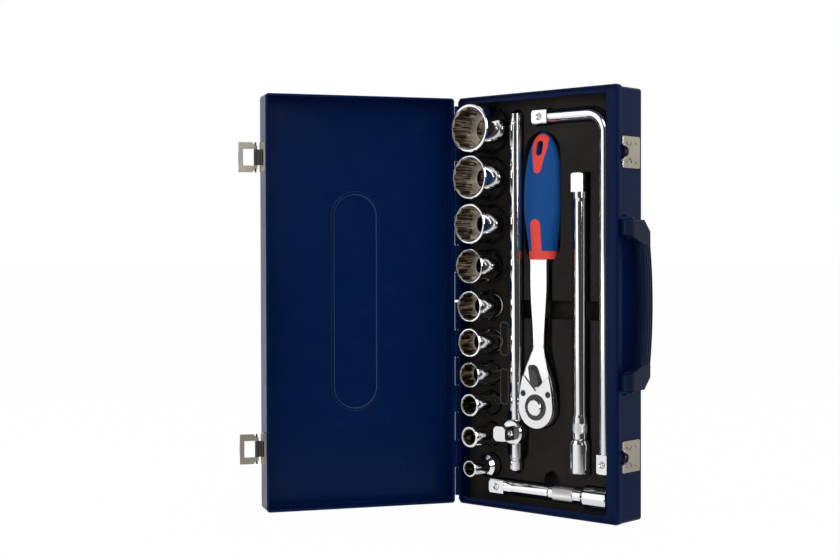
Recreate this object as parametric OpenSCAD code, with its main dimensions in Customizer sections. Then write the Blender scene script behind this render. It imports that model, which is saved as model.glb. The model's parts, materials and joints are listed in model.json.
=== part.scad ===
// Half-inch drive socket wrench set in a hinged sheet-steel case.
// The case stands on one short end and is opened like a book: the base half holds a
// moulded tray with the tools, and the lid half carries the two draw latches.
// +Z runs up the long side of the case, +X from the hinge wall to the handle wall, and
// +Y from the open face into the base. The origin is the middle of the base's lower end.

/* [Case] */
// Length of the case, which is its height as it stands
case_l = 360; // [358:1:400]
// Width of the case from hinge wall to handle wall
case_w = 170; // [168:1:190]
// Depth of the base half
base_d = 36; // [35:0.5:42]
// Depth of the lid half
lid_d = 24.5; // [23:0.5:32]
// Thickness of the steel sheet
sheet = 1; // [0.8:0.1:1.2]
// Radius of the case's outer corners
corner_r = 3; // [2:0.5:6]
// How far the return lip lies below the rim
lip_drop = 3; // [2:0.5:4]
// Width of the return lip on the handle wall
lip_front = 13; // [6:0.5:13]
// Width of the return lip on the two end walls
lip_end = 6; // [4:0.5:6]
// Depth of the band round the base's rim
band_d = 6.2; // [5:0.1:6.5]
// How far the walls step in behind the band
band_step = 1.2; // [0.8:0.1:1.3]
// Radius of the rolled edge round the rim
bead_r = 1.8; // [1:0.1:1.9]
// Gap between the two rims when the lid is shut
rim_gap = 0.3; // [0.2:0.1:0.6]
// Height of the folded hem round the lid's rim
lid_hem = 5; // [3:0.5:8]
// Angle that the lid is opened from shut
lid_open = 121; // [90:1:135]
// Width of the stamped panel in the lid
panel_w = 44; // [30:1:60]
// Length of the stamped panel in the lid
panel_l = 195; // [150:5:240]
// Depth of the stamped panel
panel_step = 0.6; // [0.4:0.1:1]

/* [Hinges] */
// Length of each hinge
hinge_l = 172; // [140:2:172]
// Distance of each hinge from the middle of the case
hinge_offset = 87; // [87:0.5:89]
// Number of knuckles on each hinge, counted on both halves
hinge_knuckles = 7; // [3:2:11]
// Width of each hinge leaf
leaf_w = 12; // [9:0.5:15]
// Thickness of each hinge leaf
leaf_t = 0.8; // [0.6:0.1:1]
// Radius of the hinge knuckle
knuckle_r = 1.6; // [1.5:0.1:2.2]
// Radius of the hinge pin
hinge_pin_r = 0.8; // [0.7:0.05:0.9]

/* [Latches] */
// Distance of each latch from the middle of the case
latch_offset = 125; // [115:1:135]
// Width of the catch plate along the case
catch_w = 26; // [24:1:30]
// Depth of the catch plate from the rim side to the back
catch_l = 26; // [22:1:27]
// Thickness of the latch and catch plates
plate_t = 1.2; // [1:0.1:1.5]
// Inner radius of the hook lip
hook_r = 4; // [3.5:0.25:5]
// Height of the hook lip above its plate
hook_h = 3.9; // [3.8:0.1:4.2]
// Distance from the rim to the catch plate
catch_inset = 6.6; // [6.6:0.1:7]
// Width of the lever frame along the case
frame_w = 25.7; // [24:0.1:28]
// Width of the window in the lever frame
window_w = 13.7; // [13:0.1:15]
// Length of the window in the lever frame
window_l = 10.2; // [9.5:0.1:11]
// Width of the outer bar of the lever frame
bar_w = 3.8; // [3:0.1:4.5]
// Distance between the link's two pivots
link_l = 5; // [4.8:0.1:6]
// Radius of the rolled pivots on the latch
roll_r = 1.6; // [1.5:0.05:1.7]
// Radius of the latch pins
latch_pin_r = 0.8; // [0.7:0.05:0.9]
// Depth of the latch plate on the lid's wall
latch_plate_l = 14; // [12:0.5:16]

/* [Carrying handle] */
// Distance between the two outer faces of the handle's arms
handle_l = 139; // [130:1:150]
// Width of each arm along the case
arm_w = 13; // [10:0.5:15]
// Distance from the pivot to the outer edge of the grip at its middle
handle_reach = 29.5; // [27:0.5:30]
// Width of the grip
grip_w = 13; // [10:0.5:14]
// Thickness of the grip
grip_t = 10.5; // [8:0.5:11]
// Radius of the grip's outer edge
bow_r = 330; // [250:1:400]
// Distance from the pivot to the rim
handle_inset = 6; // [5.5:0.5:8]
// Gap between the handle and the wall it lies against
handle_wall_gap = 1.5; // [0.5:0.1:2]
// Radius of the handle's pivot pins
handle_pin_r = 2; // [1.5:0.1:2.5]
// Depth of the grooves along the grip
groove_depth = 0.8; // [0.5:0.1:1]

/* [Tray] */
// Depth of the tray's face below the rim
tray_drop = 13.5; // [13:0.5:14]
// Thickness of the moulded tray
tray_t = 1; // [0.8:0.1:1.2]
// Gap round the tray inside the case
tray_gap = 0.4; // [0.3:0.1:1]
// Gap between a tool and its seat
seat_gap = 0.3; // [0.2:0.1:0.5]
// Gap between a tool's side and the wall of its seat
side_gap = 0.8; // [0.5:0.1:1.2]
// Width of the finger slot across the middle
slot_w = 16; // [14:1:20]
// Radius of the finger notch above the short extension
notch_r = 8.5; // [6:0.5:9]

/* [Drive] */
// Side of the drive square
drive_sq = 12.7; // [12.6:0.05:12.7]
// Gap on each side of a drive square in its socket
drive_fit = 0.1; // [0.05:0.05:0.2]
// Length of a drive tang
tang_l = 16; // [14:0.5:17]
// Radius of the detent balls
ball_r = 2.3; // [1.8:0.1:2.4]
// How far a detent ball stands out of its face
ball_out = 0.7; // [0.5:0.1:0.9]

/* [Sockets] */
// Distance of the smallest socket's axis from the lower end
socket_first_z = 35.3; // [35:0.1:37]
// Distance of the row of sockets from the hinge wall
socket_inset = 27.3; // [26:0.1:27.5]
// How far the mouths stand out of the rim
socket_proud = 18; // [16:0.5:19]
// Length of the small sockets
socket_short = 38; // [37:0.5:40]
// Length of the large sockets
socket_long = 44; // [43:0.5:46]
// Outer diameter from which a socket has the large length
long_from_od = 30; // [26:1:34]
// Diameter of the drive end
drive_body_d = 20.5; // [20:0.1:20.8]
// Length of the drive end
drive_body_l = 15; // [14:0.5:17]

/* [Tools] */
// Distance of the tools' axes below the rim
axis_drop = 12; // [11.5:0.1:12.5]
// Diameter of the sliding bar
bar_d = 12; // [11:0.1:12.5]
// Length of the sliding bar
bar_l = 311; // [290:1:311]
// Distance of the sliding bar from the hinge wall
bar_inset = 56.4; // [56:0.1:57]
// Distance of the sliding bar's end from the lower end of the case
bar_z = 33.5; // [33:0.5:36]
// Diameter of the sliding head
head_d = 22.3; // [21:0.1:23]
// Distance of the sliding head from the lower end of the case
head_z = 67.3; // [66:0.1:68]
// Diameter of the bent handle
l_d = 11; // [10:0.1:11.5]
// Distance of the bent handle's leg from the front wall
l_inset = 19.6; // [19.6:0.1:22]
// Height of the bent handle's arm
l_arm_z = 338.8; // [336:0.1:340]
// Distance of the bent handle's lower end from the lower end of the case
l_end_z = 39.4; // [38:0.1:41]
// Length of the bent handle's arm from the leg's axis to its tip
l_arm = 73; // [70:0.1:79.5]
// Radius of the bend, at its centre line
l_bend_r = 17; // [14:0.5:22]
// Diameter of the extension bars
ext_d = 11.5; // [11:0.1:12.5]
// Outer diameter of the extensions' socket ends
ext_end_d = 18.4; // [18.2:0.1:18.6]
// Length of the long extension
ext_long_l = 252; // [240:1:254]
// Length of the long extension's socket end
ext_long_end = 28; // [20:0.5:30]
// Distance of the long extension from the front wall
ext_long_inset = 45.4; // [44:0.1:48]
// Distance of the long extension's socket end from the lower end of the case
ext_long_z = 37.6; // [37:0.1:40]
// Turn of the long extension in its seat
ext_long_turn = 180; // [0:90:270]
// Length of the short extension
ext_short_l = 125; // [120:1:125]
// Length of the short extension's socket end
ext_short_end = 26; // [20:0.5:28]
// Height of the short extension's axis
ext_short_z = 17.9; // [17.2:0.1:18]
// Distance of the short extension's socket end from the front wall
ext_short_inset = 15; // [15:0.1:17]

/* [Ratchet] */
// Distance of the ratchet from the hinge wall
ratchet_inset = 83.2; // [82:0.1:83.4]
// Height of the ratchet head's centre
ratchet_z = 90.6; // [90:0.1:92]
// Radius of the ratchet head
ratchet_r = 18; // [17.5:0.1:18.5]
// Depth of the ratchet head's face below the rim
ratchet_face_drop = 3.5; // [3:0.1:4]
// Thickness of the ratchet head
ratchet_t = 14.5; // [14:0.1:15]
// Thickness of the head's cover
cover_t = 2.2; // [1.8:0.1:2.5]
// Radius of the drive gear at its tooth tips
gear_r = 13.6; // [13:0.1:13.8]
// Number of teeth on the drive gear
gear_teeth = 36; // [24:1:48]
// Height of the gear's teeth
tooth_h = 0.8; // [0.6:0.1:1]
// Radius of the gear's hub in the cover
hub_r = 11.2; // [10.5:0.1:11.5]
// Radius of the release button
button_r = 7.2; // [6.5:0.1:7.5]
// How far the release button stands out of the cover
button_out = 2.6; // [2:0.1:3.5]
// Travel of the release button
button_travel = 2; // [1.5:0.1:2.5]
// Width of the neck
neck_w = 11; // [10:0.5:13]
// Height above the head's centre at which the neck begins
neck_h = 50; // [46:1:56]
// Width of the shank
shank_w = 17.3; // [15:0.1:18]
// Thickness of the shank
shank_t = 8; // [7:0.5:9]
// Length of the shank's tongue inside the grip
tongue_l = 60; // [50:1:70]
// Height of the grip's lower end
handle_z = 217.2; // [215:0.2:220]
// Length of the grip
handle_grip_l = 108.8; // [100:0.2:109]
// Largest width of the grip
handle_grip_w = 37.2; // [34:0.2:37.4]
// Largest thickness of the grip
handle_grip_t = 25; // [24:0.5:26]
// Depth of the grip's axis behind the shank's
grip_drop = 3.6; // [2:0.1:3.8]
// Width of the grip at its collar
collar_w = 25.4; // [24:0.2:28]
// Thickness of the grip at its collar
collar_t = 21; // [20:0.5:22]
// Depth of the second colour in the grip
inlay_t = 1.6; // [1:0.1:2.5]

/* [Hidden] */
$fn = 64;

// Cut tools reach this far past a face
eps = 0.5;
// Radial clearance of a pin that turns, and of one that is held
turn_fit = 0.06;
held_fit = 0.02;

// Sockets from the lower end upwards: size across flats, outer diameter at the mouth, and
// the land left between neighbouring seats
socket_af = [10, 12, 14, 17, 19, 21, 24, 27, 30, 32];
socket_od = [14.5, 18.5, 20, 22, 25, 27, 30, 35, 38, 41.5];
socket_land = [7, 7.3, 4.9, 4.6, 5.5, 6.5, 4.2, 3.9, 2.55];

mid_z = case_l / 2;
front_x = case_w / 2;
wall_x = front_x - band_step;
hinge_wall_x = -case_w / 2;
rim_y = -base_d / 2;
back_y = base_d / 2;
tray_y = rim_y + tray_drop;
axis_y = rim_y + axis_drop;
seat_floor_y = back_y - sheet - tray_t;

// Hinge: the knuckle clears the walls by the same gap as the rims
hinge_x = hinge_wall_x - knuckle_r - rim_gap;
knuckle_gap = 0.3;
hinge_z = [mid_z - hinge_offset, mid_z + hinge_offset];
knuckle_pitch = hinge_l / hinge_knuckles;
base_spans = [for (k = [0 : 2 : hinge_knuckles - 1]) let (z = k * knuckle_pitch - hinge_l / 2)
    [z, z + knuckle_pitch]];
lid_spans = [for (k = [1 : 2 : hinge_knuckles - 2]) let (z = k * knuckle_pitch - hinge_l / 2)
    [z + knuckle_gap, z + knuckle_pitch - knuckle_gap]];
latch_z = [mid_z - latch_offset, mid_z + latch_offset];

// Latch: the shut lever's outer bar lands just past the hook lip
lip_t = 1.2;
latch_play = 0.3;
catch_y = rim_y + catch_inset;
hook_y = catch_y + hook_r + lip_t;
window_far = link_l + roll_r - 1 + window_l;
latch_x = front_x + plate_t + roll_r + 0.2;
latch_y = hook_y + latch_play - window_far;
latch_plate_rise = 2.8;
lever_t = 1.2;
knuckle_in = window_w / 2 + 0.1;

// Carrying handle
pivot_x = front_x + handle_wall_gap + grip_t / 2;
pivot_y = rim_y + handle_inset;
bow_mid_r = bow_r - grip_w / 2;
ear_t = 1.6;
arm_l = 20;
shoulder_l = 9.5;
shoulder_drop = 9;
handle_pin_l = 9;
ear_gap = 0.4;

// Tools
socket_x = hinge_wall_x + socket_inset;
bar_x = hinge_wall_x + bar_inset;
l_x = front_x - l_inset;
ext_long_x = front_x - ext_long_inset;
ext_short_x = front_x - ext_short_inset;
ratchet_x = hinge_wall_x + ratchet_inset;
sq_hole = drive_sq + 2 * drive_fit;
// Largest radius of a tang, across its rounded corners
tang_r = drive_sq * 0.66;
// Face of the sliding head above the bar's axis, and its turned back below it
head_face = 8.6;
head_back = head_d / 2 - 3;
// Shallow rings in the tray round the sockets
mouth_gap = 0.3;
mouth_depth = 2.5;
// Gripping bands of the extensions stand out of their collars
band_h = 0.3;
long_collar_d = 13.4;
short_collar_d = 13;

// Ratchet head
face_y = rim_y + ratchet_face_drop;
head_back_y = face_y + ratchet_t;
gear_y0 = face_y + cover_t + 0.2;
gear_y1 = head_back_y - 2.2;
gear_room_r = gear_r + 0.5;
back_hub_r = 9.6;
rod_r = 2.3;
rod_waist_r = 1.2;
drive_tip_y = seat_floor_y - 0.6;
pawl_z = ratchet_z + 21.5;
pawl_pin_r = 2.6;
pawl_y0 = face_y + 3.2;
v_tip = 13.6;
v_side = 28;
v_half_w = 14.5;
neck_drop = 1.2;
gear_ball_y = (head_back_y + drive_tip_y) / 2;
screw_dx = 13.2;
screw_dz = 11.5;
screw_r = 1.6;
lever_tilt = 16;
blend_h = 4;
shank_rise = 60;

// Grip: fractions of its length at which it is widest and thickest, powers of its taper from
// there, and the second colour's places
swell_w = 0.47;
swell_t = 0.3;
taper_w = 2.6;
taper_t = 1.5;
grip_y = axis_y + grip_drop;
collar_h = 7;
hang_end = 13.8;
hang_z = handle_grip_l - hang_end;
hang_w = 7;
hang_l = 13;
stripe_w = 10.5;
stripe_top = 34.3;
tongue_tip_z = 77.4;
tongue_tip_r = 4;
tongue_w = 16;

function seat_d(i) = max(socket_od[i], drive_body_d);
function socket_z(i) = i == 0 ? socket_first_z
    : socket_z(i - 1) + (seat_d(i - 1) + seat_d(i)) / 2 + socket_land[i - 1];
function socket_l(i) = socket_od[i] < long_from_od ? socket_short : socket_long;
function drive_end_d(i) = max(drive_body_d, 0.62 * socket_od[i]);
function socket_bottom_y(i) = rim_y - socket_proud + socket_l(i);

// ---------------------------------------------------------------- helpers

// Extrudes a drawing in X and Z over a span of Y
module along_y(y0, y1)
    translate([0, y1, 0]) rotate([90, 0, 0]) linear_extrude(y1 - y0) children();

// Turns a solid whose axis is Z so that its top faces out of the open case
module face_out() rotate([90, 0, 0]) children();

// Rectangle with round corners, centred
module rounded(w, h, r) {
    square([w - 2 * r, h], center = true);
    square([w, h - 2 * r], center = true);
    for (sx = [-1, 1], sz = [-1, 1])
        translate([sx * (w / 2 - r), sz * (h / 2 - r)]) circle(r);
}

// Slot with half-round ends between two heights
module upright_slot(x, z0, z1, w) {
    translate([x - w / 2, z0 + w / 2]) square([w, z1 - z0 - w]);
    for (z = [z0 + w / 2, z1 - w / 2]) translate([x, z]) circle(w / 2);
}

// Outline of the case, drawn in a given distance from its walls
module case_outline(inset)
    translate([0, mid_z])
        rounded(case_w - 2 * inset, case_l - 2 * inset, max(corner_r - inset, 0.8));

// Bar along Z whose corner nearest the origin is rolled
module rolled_bar(length) linear_extrude(length) {
    translate([bead_r, bead_r]) circle(bead_r);
    translate([bead_r, 0]) square([bead_r, 2 * bead_r]);
    translate([0, bead_r]) square([2 * bead_r, bead_r]);
}

// Band round an open rim from y0 to y1, with a rolled edge except along the hinge wall
module rolled_band(y0, y1) {
    corner = max(corner_r, bead_r + 0.2);
    along_y(y0 + bead_r, y1) case_outline(0);
    along_y(y0, y0 + bead_r + eps) {
        case_outline(bead_r);
        translate([hinge_wall_x, corner]) square([2 * bead_r, case_l - 2 * corner]);
    }
    translate([front_x, y0, corner]) rotate([0, 0, 90]) rolled_bar(case_l - 2 * corner);
    translate([corner - front_x, y0, 0]) rotate([90, 0, 90]) rolled_bar(case_w - 2 * corner);
    translate([corner - front_x, y0, case_l]) rotate([90, 0, 90]) mirror([0, 1, 0])
        rolled_bar(case_w - 2 * corner);
    for (s = [-1, 1], z = [corner, case_l - corner])
        translate([s * (front_x - corner), y0 + bead_r, z]) rotate([90, 0, 0])
            rotate_extrude() intersection() {
                translate([corner - bead_r, 0]) circle(bead_r);
                translate([0, -bead_r]) square([2 * corner, 2 * bead_r]);
            }
}

// Outline of the base behind its rim band: stepped in at the handle wall and the upper end
module base_outline(inset)
    translate([-band_step / 2, mid_z - band_step / 2])
        rounded(case_w - band_step - 2 * inset, case_l - band_step - 2 * inset,
                max(corner_r - inset, 0.8));

// Places the shut lid where the open lid is
module at_lid()
    translate([hinge_x, rim_y, 0]) rotate([0, 0, -lid_open]) translate([-hinge_x, -rim_y, 0])
        children();

// Square drive tang standing on Z = 0, with rounded corners and a bevelled tip
module tang(length) {
    tip = 1.2;
    intersection() {
        translate([-drive_sq / 2, -drive_sq / 2, 0]) cube([drive_sq, drive_sq, length]);
        union() {
            cylinder(r = tang_r, h = length - tip);
            translate([0, 0, length - tip]) cylinder(r1 = tang_r, r2 = tang_r - tip, h = tip);
        }
    }
}

// Hole for a detent ball in the -Y face of a tang, with a countersink
module ball_hole(z) translate([0, -drive_sq / 2, z]) rotate([-90, 0, 0]) {
    translate([0, 0, -eps]) cylinder(r = ball_r + held_fit, h = 2 * ball_r + eps + 0.6);
    translate([0, 0, -0.01]) cylinder(r1 = ball_r + 0.9, r2 = ball_r, h = 0.9);
}

// Detent ball in the -Y face of a tang
module ball(z) color("silver")
    translate([0, -drive_sq / 2 + ball_r - ball_out, z]) sphere(ball_r);

// ---------------------------------------------------------------- base of the case

module base_shell() color("midnightblue") difference() {
    union() {
        rolled_band(rim_y, rim_y + band_d);
        along_y(rim_y + 2 * sheet, back_y) base_outline(0);
    }
    // Cavity behind the return lip
    along_y(rim_y + lip_drop + sheet, back_y - sheet) base_outline(sheet);
    // Space between the folded rims
    along_y(rim_y - eps, rim_y + lip_drop) case_outline(2 * sheet);
    // Mouth inside the return lip
    along_y(rim_y, rim_y + lip_drop + sheet + eps)
        translate([hinge_wall_x + 2 * sheet, lip_end])
            square([case_w - 2 * sheet - lip_front, case_l - 2 * lip_end]);
}

// Leaf and knuckles of one half of a hinge; side is 1 on the base and -1 on the lid
module hinge_half(z, side, spans, bore_r) difference() {
    union() {
        translate([hinge_wall_x - leaf_t, rim_y, z - hinge_l / 2])
            mirror([0, side < 0 ? 1 : 0, 0]) translate([0, knuckle_r + 2 * knuckle_gap, 0])
                cube([leaf_t, leaf_w, hinge_l]);
        for (s = spans) translate([0, 0, z + s[0]]) {
            translate([hinge_x, rim_y, 0]) cylinder(r = knuckle_r, h = s[1] - s[0]);
            // Strap from the knuckle to the leaf
            translate([hinge_wall_x - leaf_t, rim_y, 0]) mirror([0, side < 0 ? 1 : 0, 0])
                translate([0, rim_gap, 0])
                    cube([leaf_t, knuckle_r + 2 * knuckle_gap + 0.2, s[1] - s[0]]);
        }
    }
    translate([hinge_x, rim_y, z - hinge_l]) cylinder(r = bore_r, h = 2 * hinge_l);
}

module base_hinge_leaves() color("midnightblue")
    for (z = hinge_z) hinge_half(z, 1, base_spans, hinge_pin_r + held_fit);

module hinge_pins() color("midnightblue")
    for (z = hinge_z)
        translate([hinge_x, rim_y, z - hinge_l / 2]) cylinder(r = hinge_pin_r, h = hinge_l);

// Catch plate with its half-round hook lip, laid on the handle wall
module catch_plate(z) {
    slot_r = catch_w / 2 - 4.2;
    translate([wall_x, 0, z]) {
        difference() {
            union() {
                rotate([0, 90, 0]) linear_extrude(plate_t)
                    translate([0, catch_y + catch_l / 2]) rounded(catch_w, catch_l, 2);
                // Hook lip round the notch
                translate([0, catch_y, 0]) rotate([0, 90, 0])
                    cylinder(r = hook_r + lip_t, h = plate_t + hook_h);
            }
            translate([-eps, catch_y, 0]) rotate([0, 90, 0])
                cylinder(r = hook_r, h = plate_t + hook_h + 2 * eps);
            translate([-eps, catch_y - 2 * hook_r, -catch_w])
                cube([plate_t + hook_h + 2 * eps, 2 * hook_r, 2 * catch_w]);
            // Curved slots beside the hook
            for (s = [-1, 1]) translate([plate_t / 2, catch_y + hook_r + 6, s * slot_r])
                rotate([0, 90, 0]) difference() {
                    cylinder(r = 4, h = plate_t);
                    translate([0, 0, -eps]) cylinder(r = 2.8, h = plate_t + 2 * eps);
                    translate([-s * 5, 0, plate_t / 2]) cube([10, 12, 3 * plate_t], center = true);
                }
        }
    }
}

module catch_plates() color("tan") for (z = latch_z) catch_plate(z);

// Bracket with one ear and a pin that points towards the middle of the case
module handle_bracket(end) {
    outer_z = end * (handle_l / 2 + ear_gap);
    translate([0, 0, mid_z + outer_z]) mirror([0, 0, end > 0 ? 0 : 1]) {
        // Foot on the wall
        translate([wall_x, rim_y + band_d + rim_gap, 0]) cube([1.2, 10, 6]);
        // Ear
        linear_extrude(ear_t) {
            translate([pivot_x, pivot_y]) circle(4.2);
            translate([front_x, pivot_y - 4.2]) square([pivot_x - front_x, 8.4]);
        }
        translate([pivot_x, pivot_y, -handle_pin_l])
            cylinder(r = handle_pin_r, h = handle_pin_l + ear_t);
        // Pressed rib between foot and ear
        translate([wall_x, rim_y + band_d + 4.5, 0]) cube([2.4, 1.6, 4.5]);
    }
}

module handle_brackets() color("midnightblue") for (end = [-1, 1]) handle_bracket(end);

// ---------------------------------------------------------------- tray

// Seats of the tools, each drawn larger by wall and running this deep past its floor
module seats(wall) {
    top_y = wall > 0 ? tray_y : tray_y - eps;
    g = side_gap + wall;
    rod_floor_y = axis_y + max(bar_d, drive_sq) / 2 + seat_gap + wall;
    for (i = [0 : len(socket_af) - 1]) {
        along_y(top_y, socket_bottom_y(i) + seat_gap + wall)
            translate([socket_x, socket_z(i)]) circle(drive_end_d(i) / 2 + g);
        along_y(top_y, tray_y + mouth_depth + wall)
            translate([socket_x, socket_z(i)]) circle(seat_d(i) / 2 + wall + mouth_gap);
    }
    // Sliding bar and its head
    along_y(top_y, rod_floor_y) upright_slot(bar_x, bar_z - g - 2, bar_z + bar_l + g + 2, bar_d + 2 * g);
    along_y(top_y, axis_y + head_back + seat_gap + wall)
        upright_slot(bar_x, head_z - 15 - head_d / 2 - g, head_z + 11 + head_d / 2 + g, head_d + 2 * g);
    // Bent handle
    along_y(top_y, rod_floor_y) {
        translate([l_x - l_d / 2 - g, l_end_z - g])
            square([l_d + 2 * g, l_arm_z - l_bend_r - l_end_z + g]);
        translate([l_x - l_arm - g, l_arm_z - l_d / 2 - g])
            square([l_arm - l_bend_r + g, l_d + 2 * g]);
        translate([l_x - l_bend_r, l_arm_z - l_bend_r]) intersection() {
            difference() {
                circle(l_bend_r + l_d / 2 + g);
                circle(l_bend_r - l_d / 2 - g);
            }
            square(l_bend_r + l_d + g);
        }
        // Room round the two tangs
        translate([l_x - drive_sq / 2 - g, l_end_z - g]) square([drive_sq + 2 * g, tang_l + 2 * g]);
        translate([l_x - l_arm - g, l_arm_z - drive_sq / 2 - g])
            square([tang_l + 2 * g, drive_sq + 2 * g]);
    }
    // Long extension
    along_y(top_y, axis_y + tang_r + seat_gap + wall)
        translate([ext_long_x - tang_r - g, ext_long_z]) square([2 * (tang_r + g), ext_long_l + g]);
    along_y(top_y, axis_y + ext_end_d / 2 + seat_gap + wall)
        translate([ext_long_x - ext_end_d / 2 - g, ext_long_z - g])
            square([ext_end_d + 2 * g, ext_long_end + 2 * g]);
    // Short extension
    along_y(top_y, axis_y + short_collar_d / 2 + band_h + seat_gap + wall)
        translate([ext_short_x - ext_short_l - g, ext_short_z - drive_sq / 2 - g])
            square([ext_short_l + g, drive_sq + 2 * g]);
    along_y(top_y, axis_y + ext_end_d / 2 + seat_gap + wall)
        translate([ext_short_x - ext_short_end - g, ext_short_z - ext_end_d / 2 - g])
            square([ext_short_end + 2 * g, ext_end_d + 2 * g]);
    // Ratchet: head, drive tang, shank and grip
    along_y(top_y, head_back_y + seat_gap + wall) {
        translate([ratchet_x, ratchet_z]) circle(ratchet_r + g);
        translate([ratchet_x - shank_w / 2 - g - 1, ratchet_z])
            square([shank_w + 2 * g + 2, handle_z - ratchet_z]);
        translate([ratchet_x, ratchet_z]) polygon([
            [-ratchet_r - g, 0], [ratchet_r + g, 0], [ratchet_r + g, 15],
            [shank_w / 2 + g + 1, neck_h], [-shank_w / 2 - g - 1, neck_h], [-ratchet_r - g, 15]
        ]);
    }
    along_y(top_y, drive_tip_y + seat_gap + wall)
        translate([ratchet_x, ratchet_z]) circle(back_hub_r + ball_out + wall);
    along_y(top_y, grip_y + handle_grip_t / 2 + seat_gap + wall)
        upright_slot(ratchet_x, handle_z - 4 - g, handle_z + handle_grip_l + g, handle_grip_w + 2 * g);
    // Finger slot across the middle and notch above the short extension
    along_y(top_y, rod_floor_y + 4) translate([bar_x, mid_z - slot_w / 2 - 6 - wall])
        square([l_x - bar_x, slot_w + 2 * wall]);
    along_y(top_y, rod_floor_y + 4) translate([ratchet_x + 10, ext_short_z + drive_sq / 2 + 3])
        circle(notch_r + wall);
}

module tray() color("#1c1a19") {
    inset = sheet + tray_gap;
    difference() {
        intersection() {
            union() {
                along_y(tray_y, tray_y + tray_t) base_outline(inset);
                seats(tray_t);
            }
            along_y(tray_y, back_y) base_outline(inset);
        }
        seats(0);
    }
    // Skirt down to the back of the case
    along_y(tray_y + tray_t, back_y - sheet) difference() {
        base_outline(inset);
        base_outline(inset + tray_t);
    }
}

// ---------------------------------------------------------------- lid

module lid_shell() color("midnightblue") at_lid() {
    top_y = rim_y - rim_gap;
    panel_y = top_y - lid_d;
    difference() {
        union() {
            along_y(panel_y, top_y) case_outline(0);
            // Stamped panel, proud of the outside
            along_y(panel_y - panel_step, panel_y + sheet / 2)
                translate([0, mid_z]) rounded(panel_w, panel_l, panel_w / 2 - 0.01);
        }
        along_y(panel_y + sheet, top_y - lid_hem) case_outline(sheet);
        along_y(top_y - lid_hem - eps, top_y + eps) case_outline(2 * sheet);
        along_y(panel_y + sheet - panel_step, panel_y + sheet + eps) translate([0, mid_z])
            rounded(panel_w - 2 * sheet, panel_l - 2 * sheet, panel_w / 2 - sheet - 0.01);
    }
}

module lid_hinge_leaves() color("midnightblue") at_lid()
    for (z = hinge_z) hinge_half(z, -1, lid_spans, hinge_pin_r + turn_fit);

// Plate on the lid's wall with the two knuckles that hold the link
module latch_plate(z) difference() {
    union() {
        translate([front_x, latch_y + latch_plate_rise - latch_plate_l, z - frame_w / 2])
            cube([plate_t, latch_plate_l, frame_w]);
        for (s = [-1, 1]) {
            knuckle_l = frame_w / 2 - knuckle_in - 0.3;
            translate([latch_x, latch_y, z + s * (knuckle_in + 0.3 + knuckle_l / 2)]) {
                cylinder(r = roll_r, h = knuckle_l, center = true);
                // Foot of the knuckle
                translate([-roll_r / 2 - 0.1, 0, 0])
                    cube([roll_r + 0.2, 2 * roll_r, knuckle_l], center = true);
            }
        }
    }
    translate([latch_x, latch_y, z - frame_w])
        cylinder(r = latch_pin_r + held_fit, h = 2 * frame_w);
}

module latch_plates() color("tan") at_lid() for (z = latch_z) latch_plate(z);

module latch_pins() color("tan") at_lid()
    for (z = latch_z) translate([latch_x, latch_y, z])
        cylinder(r = latch_pin_r, h = frame_w, center = true);

// Link with a rolled eye on the lid's pin and a pin of its own for the lever
module latch_link(z) color("dimgray") at_lid() translate([latch_x, latch_y, z]) {
    eye_l = 2 * knuckle_in - 0.2;
    difference() {
        union() {
            cylinder(r = roll_r, h = eye_l, center = true);
            translate([link_l, 0, 0]) cylinder(r = roll_r, h = eye_l, center = true);
            translate([0, -lever_t / 2, -eye_l / 2]) cube([link_l, lever_t, eye_l]);
        }
        cylinder(r = latch_pin_r + turn_fit, h = 2 * eye_l, center = true);
    }
    translate([link_l, 0, 0]) cylinder(r = latch_pin_r, h = frame_w, center = true);
}

// Frame that hooks over the catch: two arms with rolled eyes, joined by an outer bar
module latch_lever(z) color("tan") at_lid() translate([latch_x, latch_y, z]) {
    outer_x = window_far + bar_w;
    arm = frame_w / 2 - knuckle_in - 0.1;
    difference() {
        union() {
            rotate([90, 0, 0]) translate([0, 0, -lever_t / 2]) linear_extrude(lever_t)
                difference() {
                    polygon([
                        [link_l, -frame_w / 2 + 3], [link_l + 3, -frame_w / 2],
                        [outer_x, -frame_w / 2], [outer_x, frame_w / 2],
                        [link_l + 3, frame_w / 2], [link_l, frame_w / 2 - 3]
                    ]);
                    translate([0, -knuckle_in - 0.1]) square([window_far, 2 * knuckle_in + 0.2]);
                }
            for (s = [-1, 1]) translate([link_l, 0, s * (knuckle_in + 0.1 + arm / 2 - 1.5)])
                cylinder(r = roll_r, h = arm - 3, center = true);
            // Turned-up finger tab in the middle of the outer bar
            translate([outer_x - lever_t, -lever_t / 2 - 1.6, -5]) cube([lever_t, 1.8, 10]);
        }
        translate([link_l, 0, -frame_w]) cylinder(r = latch_pin_r + turn_fit, h = 2 * frame_w);
    }
}

// ---------------------------------------------------------------- carrying handle

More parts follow.
